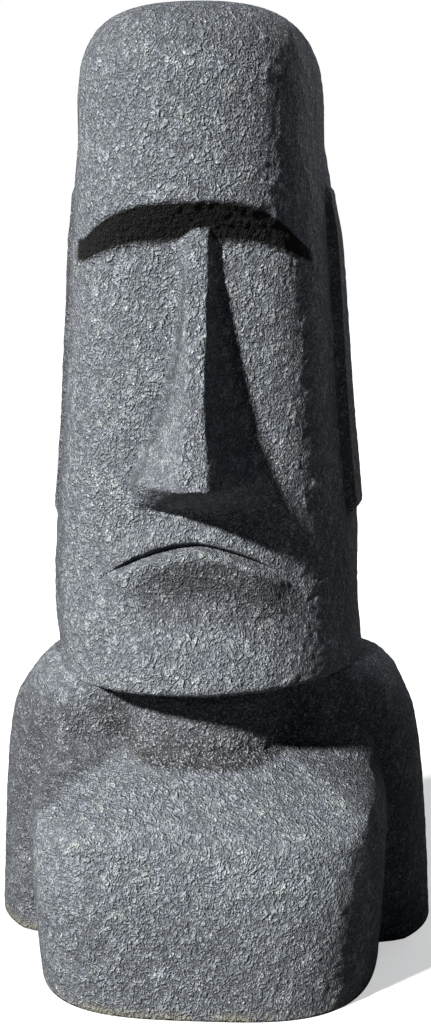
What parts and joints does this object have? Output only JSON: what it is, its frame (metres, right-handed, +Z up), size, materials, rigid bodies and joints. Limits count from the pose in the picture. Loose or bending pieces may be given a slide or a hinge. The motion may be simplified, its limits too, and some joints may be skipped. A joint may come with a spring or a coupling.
{
  "type": "garden moai statue",
  "caption": "Tall eyeless moai head with long ears on a short torso with arms at its sides, one hollow casting that stands on a flat underside.",
  "frame": {"origin": "centre of the bounding box on the ground, under the statue", "axes": "+Z up, the face looks along -Y, +X to the right of someone who faces the statue"},
  "size_m": [0.7484, 0.5808, 1.5],
  "materials": {
    "cast_stone": "rough hammered texture, charcoal with a dry-brushed lighter grey on the raised grains"
  },
  "bodies": {
    "root": {"moai_statue": "cast_stone"}
  },
  "joints": []
}
